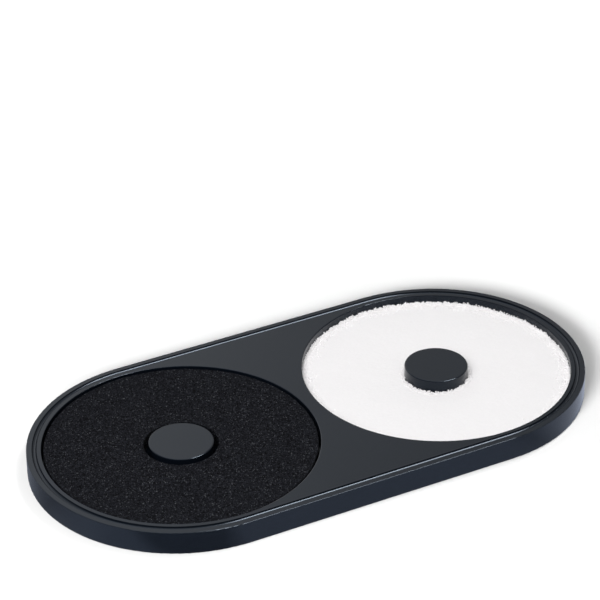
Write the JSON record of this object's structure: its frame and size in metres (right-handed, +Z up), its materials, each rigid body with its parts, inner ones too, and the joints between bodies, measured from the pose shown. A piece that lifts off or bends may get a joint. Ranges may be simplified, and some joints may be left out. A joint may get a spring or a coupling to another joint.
{
  "type": "cocktail glass rimmer",
  "caption": "Low oblong bar tray with two round wells and centre posts: a sponge ring wets a glass's rim, a bed of salt coats it.",
  "frame": {"origin": "middle of the tray's footprint, on the surface that the feet stand on", "axes": "+X along the tray towards the salt well, +Y to the back, +Z up"},
  "size_m": [0.3026, 0.155, 0.0132],
  "materials": {
    "moulding": "satin",
    "foam": "matte",
    "salt": "matte",
    "feet": "matte"
  },
  "bodies": {
    "base": {"tray": "moulding", "salt_bed": "salt", "foot_left_front": "feet", "foot_left_back": "feet", "foot_left_inner": "feet", "foot_right_front": "feet", "foot_right_back": "feet", "foot_right_inner": "feet"},
    "sponge": {"sponge_ring": "foam"}
  },
  "joints": [
    {"name": "sponge_lift", "type": "slide", "parent": "base", "child": "sponge", "axis": [0, 0, 1], "range_m": [0, 0.03]}
  ]
}
